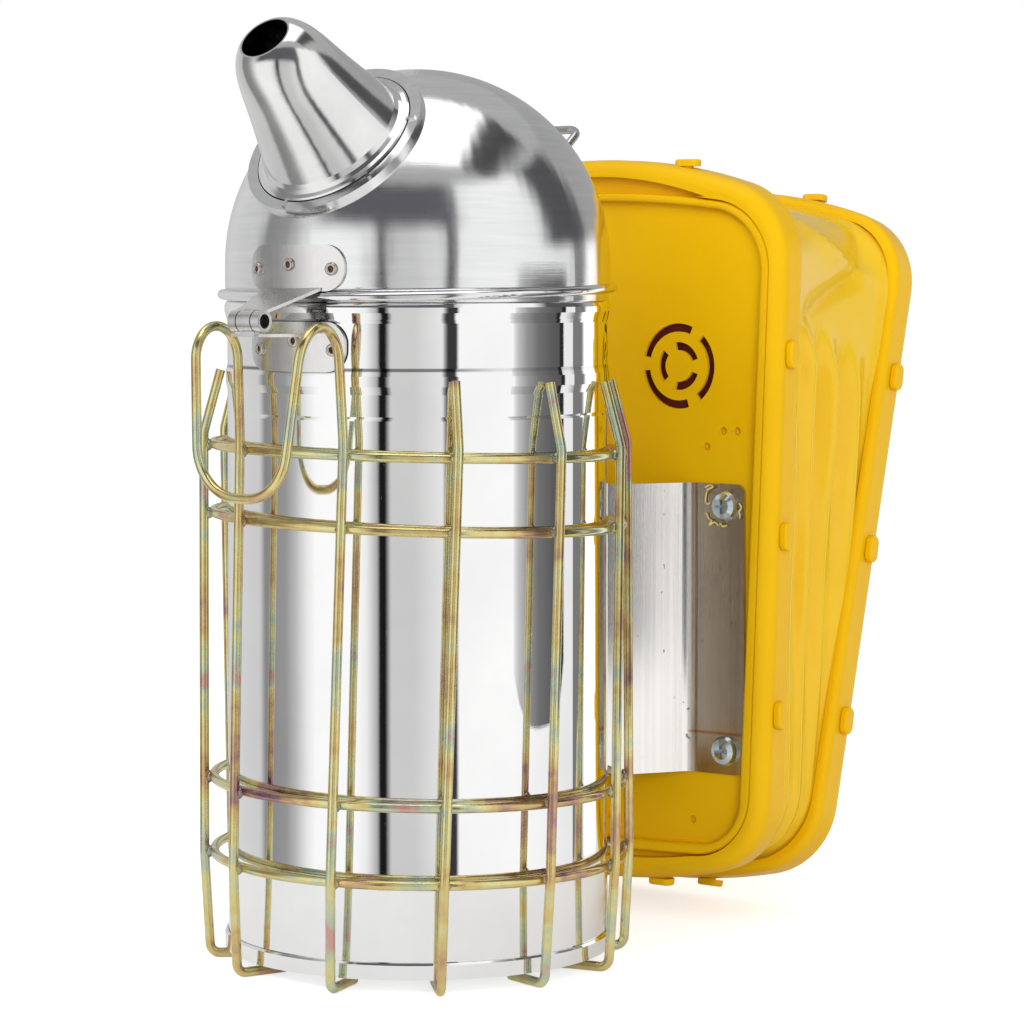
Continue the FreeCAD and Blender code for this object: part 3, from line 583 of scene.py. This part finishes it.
def make_spring():
    path = []
    steps = 360
    for i in range(steps + 1):
        share = i / steps
        turn = 2 * math.pi * SPRING_TURNS * share
        z = SPRING_HEIGHT + SPRING_RADIUS * math.cos(turn)
        back = PIVOT.y + (z - PIVOT.z) * math.tan(WEDGE) + 4.0
        hold = min(1.0, share * SPRING_TURNS, (1 - share) * SPRING_TURNS)
        level = share * hold if share < 0.5 else 1 - (1 - share) * hold
        y = SPRING_FRONT + (back - SPRING_FRONT) * level
        path.append(Vector((SPRING_RADIUS * math.sin(turn), y, z)))
    points, faces = tube(path, SPRING_WIRE, 12)
    spring = new_piece("return_spring", points, faces, [LOOK["spring_steel"]])
    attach(spring, "smoker_body")
    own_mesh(spring)
    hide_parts("bellows_spring")


# ---- hollow rivets of the hinge
EYELET = [(0.05, -0.5), (0.60, -0.5), (0.66, -0.1), (0.80, 0.22), (1.02, 0.38), (1.30, 0.36),
          (1.55, 0.18), (1.66, -0.1), (1.62, -1.6), (0.05, -1.6)]


def make_eyelets(node, name, body):
    parts = []
    for spots in islands(node):
        centre = sum(spots, Vector()) / len(spots)
        out = Vector((centre.x, centre.y, 0.0)).normalized()
        reach = max(p.dot(out) for p in spots)
        place = centre + out * (reach - centre.dot(out) - 0.45)
        parts.append(turned(EYELET, place, out))
    points, faces = joined(parts)
    rivets = new_piece(name, points, faces, [LOOK["rivet_steel"], rusty_core()])
    sides = 28
    per = (len(EYELET) - 1) * sides + 2
    for face in rivets.data.polygons:
        if face.index % per < sides * 2:
            face.material_index = 1
    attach(rivets, body)
    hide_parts(node)


def rusty_core():
    g = Graph("rivet_core")
    clouds = g.noise(1400.0, None, 4.0)
    g.set(Base_Color=g.ramp(clouds, [(0.3, (0.10, 0.035, 0.02)), (0.7, (0.26, 0.12, 0.08))]),
          Metallic=0.5, Roughness=g.span(clouds, 0.3, 0.7, 0.45, 0.7))
    return g.material


# ---- weld spots where guard wires cross
UPRIGHTS = ["guard_hook_wire"] + ["guard_upright_%s_%d" % (side, i)
                                  for i in range(1, 5) for side in ("left", "right")]
RING_HEIGHTS = (27.9, 47.3, 116.0, 134.4)
HOOK_SPACE = 57.5            # wire beyond this distance from the axis is part of the hook
WELD_REACH = 1.0             # wires further apart than this aren't welded
WELD_DEPTH, WELD_SPREAD = 1.1, 1.6


def nearest(node, spot):
    """Closest point of a CAD node's surface, in millimetres."""
    thing = frame["nodes"][node]
    found = thing.closest_point_on_mesh(thing.matrix_world.inverted() @ (spot * MM))[1]
    return thing.matrix_world @ found / MM


def wire_middle(node, side):
    """Middle of a wire's points on one side of the pot, or of all of them."""
    thing = frame["nodes"][node]
    spots = [thing.matrix_world @ v.co / MM for v in thing.data.vertices]
    spots = [p for p in spots if p.x * side >= 0.0 and Vector((p.x, p.y)).length < HOOK_SPACE]
    return sum(spots, Vector()) / len(spots)


def make_welds():
    dice = random.Random(11)
    parts = []
    for ring in range(1, 5):
        for node in UPRIGHTS:
            for side in ((-1, 1) if node == "guard_hook_wire" else (0,)):
                start = wire_middle(node, side)
                spot = Vector((start.x, start.y, RING_HEIGHTS[ring - 1]))
                for _ in range(12):
                    wire = nearest(node, spot)
                    spot = nearest("guard_ring_%d" % ring, wire)
                if (wire - spot).length < WELD_REACH:
                    parts.append(weld((wire + spot) / 2, dice))
    points, faces = joined(parts)
    welds = new_piece("guard_welds", points, faces, [LOOK["weld_zinc"]])
    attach(welds, "smoker_body")
    print("weld spots", len(parts))


def weld(place, dice):
    """Small uneven lump that fills the corners of a crossing."""
    out = Vector((place.x, place.y, 0.0)).normalized()
    along = Vector((0, 0, 1)).cross(out)
    points, faces = [], []
    rows, sides = 8, 14
    for i in range(rows + 1):
        lat = math.pi * i / rows
        for k in range(sides):
            turn = 2 * math.pi * k / sides
            grow = 1.0 + dice.uniform(-0.07, 0.07) if 0 < i < rows else 1.0
            corner = 1.0 + 0.05 * math.cos(4 * turn)
            flat = along * math.cos(turn) * WELD_SPREAD + Vector((0, 0, math.sin(turn) * WELD_SPREAD))
            points.append(place + out * math.cos(lat) * WELD_DEPTH + flat * math.sin(lat) * grow * corner)
    for i in range(rows):
        for k in range(sides):
            a, b = i * sides + k, i * sides + (k + 1) % sides
            faces.append((a, b, b + sides, a + sides))
    return points, faces


# ---- dished bottoms of the small moulded holes in the front board
HOLES = [(40.7, 136.5), (45.3, 136.5), (35.3, 132.0), (30.9, 27.7)]
HOLE_FLOOR = 86.4
DISH = [(0.05, 0.0), (0.45, 0.04), (0.80, 0.18), (1.04, 0.50), (1.06, -0.6), (0.05, -0.6)]


def make_hole_floors():
    parts = [turned(DISH, Vector((x, HOLE_FLOOR, z)), Vector((0, -1, 0))) for x, z in HOLES]
    points, faces = joined(parts)
    floors = new_piece("hole_floors", points, faces, [LOOK["yellow_plastic"]])
    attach(floors, "smoker_body")


# ---- plastic shavings that the upper screw threw up
SCREW = Vector((42.3, 83.6, 115.8))
SHAVING_RADIUS = 0.24
SHAVINGS = [
    [(-6.6, 4.9), (-5.2, 5.6), (-3.9, 5.2), (-5.4, 4.4), (-6.3, 3.0), (-6.6, 1.2), (-5.6, 0.4), (-4.6, 0.9)],
    [(-6.3, -2.0), (-5.6, -3.6), (-4.3, -4.2), (-4.8, -5.3), (-3.4, -4.6), (-2.4, -5.4), (-1.3, -4.9),
     (-0.4, -5.6), (0.5, -5.2)],
    [(4.6, 1.0), (5.1, -0.2), (4.7, -1.2), (5.2, -2.2), (4.6, -3.2)],
]


def smooth_path(spots, steps=7):
    """Catmull-Rom curve through points."""
    ends = [spots[0]] + spots + [spots[-1]]
    path = []
    for a, b, c, d in zip(ends, ends[1:], ends[2:], ends[3:]):
        for k in range(steps):
            t = k / steps
            path.append(0.5 * ((2 * b) + (c - a) * t + (2 * a - 5 * b + 4 * c - d) * t * t
                               + (3 * b - a - 3 * c + d) * t ** 3))
    return path + [spots[-1]]


def make_shavings():
    parts = []
    for line in SHAVINGS:
        spots = [SCREW + Vector((x, 0.5 * math.sin(1.7 * i) - 0.3, z)) for i, (x, z) in enumerate(line)]
        parts.append(tube(smooth_path(spots), SHAVING_RADIUS, 8))
    points, faces = joined(parts)
    curls = new_piece("screw_shavings", points, faces, [LOOK["pale_shaving"]])
    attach(curls, "smoker_body")


LOOK["weld_zinc"] = passivated_wire("weld_zinc", True)
LOOK["pale_shaving"] = plastic("pale_shaving", (0.86, 0.74, 0.27), 0.3, (0.78, 0.62, 0.16))
make_sheet()
make_spring()
make_eyelets("lid_hinge_rivets", "lid_eyelets", "lid")
make_eyelets("pot_hinge_rivets", "pot_eyelets", "smoker_body")
make_welds()
make_hole_floors()
make_shavings()

# ------------------------------------------------------------------ studio


def stage_plane(name, corners, material):
    mesh = bpy.data.meshes.new(name)
    mesh.from_pydata(corners, [], [list(range(len(corners)))])
    mesh.materials.append(material)
    plane = bpy.data.objects.new(name, mesh)
    bpy.context.scene.collection.objects.link(plane)
    return plane


def floor_material():
    """Pale floor that the camera sees as almost white, with a faint shadow under the object."""
    g = Graph("floor")
    path = g.add("LightPath")
    clouds = g.noise(2.0, None, 3.0)
    g.set(Base_Color=g.ramp(clouds, [(0.3, (0.86, 0.86, 0.86)), (0.7, (0.88, 0.88, 0.88))]),
          Roughness=0.8, Specular_IOR_Level=0.1, Emission_Color=(1.0, 1.0, 1.0, 1.0),
          Emission_Strength=g.math("ADD", g.math("MULTIPLY", path.outputs["Is Camera Ray"], 0.60),
                                   g.math("MULTIPLY", path.outputs["Is Glossy Ray"], 0.17)))
    return g.material


def make_floor():
    count = 64
    rim = [(14 * math.cos(2 * math.pi * i / count), 14 * math.sin(2 * math.pi * i / count), 0.0)
           for i in range(count)]
    stage_plane("floor", rim, floor_material())


# Light tent round the object: brightness at angles from the camera's side, in degrees.
TENT = [(-180, 0.55), (-158, 0.60), (-133, 0.76), (-98, 0.70), (-93, 0.28), (-76, 0.35), (-69, 0.56),
        (-62, 0.92), (-56, 1.12), (-33, 1.12), (-27, 1.0), (-22, 0.56), (-20.6, 0.42), (-19.9, 0.012),
        (-16.0, 0.012), (-14.9, 0.70), (-2, 0.70), (13.4, 0.92), (14.4, 0.045), (19.8, 0.045),
        (21, 1.08), (51, 1.12), (70, 1.05), (92, 0.95), (96, 0.22), (104, 0.22), (107, 1.35), (120, 1.35),
        (125, 0.75), (140, 0.75)]
TENT_RADIUS = 0.2
TENT_HEIGHT = 0.36
TENT_GAP = (0.235, 0.262)           # above this the side near the camera is open and dark
TENT_DARK = 0.13
HIGH_RIGHT = (0.10, 0.42)           # tones of the upper part on the right, near and far
HIGH_FROM = (0.196, 0.215)


def tent_share(degrees):
    """Share of the way round the tent, from 0 to 1."""
    return (180.0 + degrees) / 360.0


def tent_material():
    """Glow of the tent: one tone per direction, dark above a height on the camera's side."""
    g = Graph("tent")
    parts = g.add("SeparateXYZ", {"Vector": g.coords}).outputs
    turn = g.span(g.math("ARCTAN2", parts[1], parts[0]), -math.pi, math.pi)
    low, high = TENT[:17], TENT[16:]
    tones = []
    for part in (low, high):
        stops = [(tent_share(a), (t, t, t)) for a, t in part]
        tones.append(g.ramp(turn, stops))
    side = g.math("GREATER_THAN", turn, tent_share(low[-1][0]))
    tone = g.mix(side, tones[0], tones[1])
    left = g.span(turn, tent_share(-66.0), tent_share(-52.0))
    right = g.span(turn, tent_share(16.0), tent_share(26.0), 1.0, 0.0)
    above = g.span(parts[2], *TENT_GAP)
    open_part = g.math("MULTIPLY", g.math("MULTIPLY", left, right), above)
    tone = g.mix(open_part, tone, (TENT_DARK, TENT_DARK, TENT_DARK * 1.08))
    near, far = HIGH_RIGHT
    beyond = g.span(turn, tent_share(104.0), tent_share(112.0))
    high_right = g.mix(beyond, (near, near, near * 1.05), (far, far, far))
    towards_right = g.span(turn, tent_share(68.0), tent_share(78.0))
    share = g.math("MULTIPLY", towards_right, g.span(parts[2], *HIGH_FROM))
    tone = g.mix(share, tone, high_right)
    glow = g.add("Emission", {"Color": tone, "Strength": 1.0})
    g.tree.links.new(glow.outputs[0], g.out.inputs[0])
    g.material.cycles.emission_sampling = "NONE"
    return g.material


def card_material(name, tones, axis, low, high):
    """Glow that changes along one axis between two places."""
    g = Graph(name)
    parts = g.add("SeparateXYZ", {"Vector": g.coords}).outputs
    share = g.span(parts[axis], low, high)
    glow = g.add("Emission", {"Color": g.ramp(share, [(p, (t, t, t)) for p, t in tones]), "Strength": 1.0})
    g.tree.links.new(glow.outputs[0], g.out.inputs[0])
    g.material.cycles.emission_sampling = "NONE"
    return g.material


def make_flag():
    """Dark flag close to the pot's right, so that only the pot mirrors it."""
    x, y0, y1, z0, z1 = 0.110, -0.012, 0.058, 0.056, 0.181
    tones = [(0.0, 0.95), (0.07, 0.62), (0.2, 0.36), (0.4, 0.19), (0.7, 0.12), (0.86, 0.11),
             (0.90, 0.02), (0.97, 0.025), (1.0, 0.12)]
    corners = [(x, y0 + (y1 - y0) * i / 12, z0 + 0.016 * (i / 6 - 1) ** 4) for i in range(13)]
    corners += [(x, y1, z1), (x, y0, z1)]
    glossy_only(stage_plane("flag", corners, card_material("flag", tones, 1, y0, y1)))


def make_ceiling():
    """Soft box overhead with a dark edge, for reflections only; it is turned towards the camera."""
    front, back, left, right = 0.26, -0.13, -0.20, 0.40
    corners = [(front, left, 0.6), (front, right, 0.6), (back, right, 0.6), (back, left, 0.6)]
    tones = [(0.0, 1.9), (0.60, 1.9), (0.67, 0.08), (0.88, 0.08), (1.0, 0.45)]
    ceiling = stage_plane("ceiling", corners, card_material("ceiling", tones, 1, left, right))
    ceiling.rotation_euler = (0, 0, AZIMUTH - math.pi / 2)
    glossy_only(ceiling)


def glossy_only(thing):
    thing.visible_camera = False
    thing.visible_diffuse = False
    thing.visible_shadow = False
    thing.visible_transmission = False
    thing.visible_volume_scatter = False


def make_tent():
    """Upright drum that only reflections can see; its angles start at the camera's side."""
    count = 180
    material = tent_material()
    rows = ((TENT_RADIUS, 0.0), (TENT_RADIUS, TENT_HEIGHT))
    points = [(r * math.cos(2 * math.pi * i / count), r * math.sin(2 * math.pi * i / count), z)
              for r, z in rows for i in range(count)]
    faces = [(i, (i + 1) % count, count + (i + 1) % count, count + i) for i in range(count)]
    mesh = bpy.data.meshes.new("tent")
    mesh.from_pydata(points, [], faces)
    mesh.materials.append(material)
    tent = bpy.data.objects.new("tent", mesh)
    tent.rotation_euler = (0, 0, AZIMUTH - math.pi / 2)
    bpy.context.scene.collection.objects.link(tent)
    glossy_only(tent)


def make_world():
    """White for the camera; a dimmer soft dome for lighting."""
    world = bpy.data.worlds.new("studio")
    world.use_nodes = True
    tree = world.node_tree
    tree.nodes.clear()
    out = tree.nodes.new("ShaderNodeOutputWorld")
    path = tree.nodes.new("ShaderNodeLightPath")
    shader = None
    for output, strength in ((None, 0.60), ("Is Glossy Ray", 0.50), ("Is Camera Ray", 1.0)):
        sky = tree.nodes.new("ShaderNodeBackground")
        sky.inputs["Color"].default_value = (1, 1, 1, 1)
        sky.inputs["Strength"].default_value = strength
        if shader is None:
            shader = sky
            continue
        mix = tree.nodes.new("ShaderNodeMixShader")
        tree.links.new(path.outputs[output], mix.inputs[0])
        tree.links.new(shader.outputs[0], mix.inputs[1])
        tree.links.new(sky.outputs[0], mix.inputs[2])
        shader = mix
    tree.links.new(shader.outputs[0], out.inputs[0])
    bpy.context.scene.world = world


def area(name, place, target, width, height, power):
    data = bpy.data.lights.new(name, "AREA")
    data.shape = "RECTANGLE"
    data.size, data.size_y = width, height
    data.energy = power
    light = bpy.data.objects.new(name, data)
    light.location = place
    light.rotation_euler = (Vector(target) - Vector(place)).to_track_quat("-Z", "Y").to_euler()
    light.visible_glossy = False
    bpy.context.scene.collection.objects.link(light)
    return light


make_floor()
make_tent()
make_flag()
make_ceiling()
make_world()
area("key", place=(-0.3, -1.5, 1.4), target=(0, 0, 0.12), width=1.2, height=1.0, power=12.0)
area("side", place=(1.3, -1.1, 0.45), target=(0.04, 0.08, 0.10), width=0.6, height=0.6, power=11.0)
bpy.context.scene.view_settings.view_transform = "Standard"
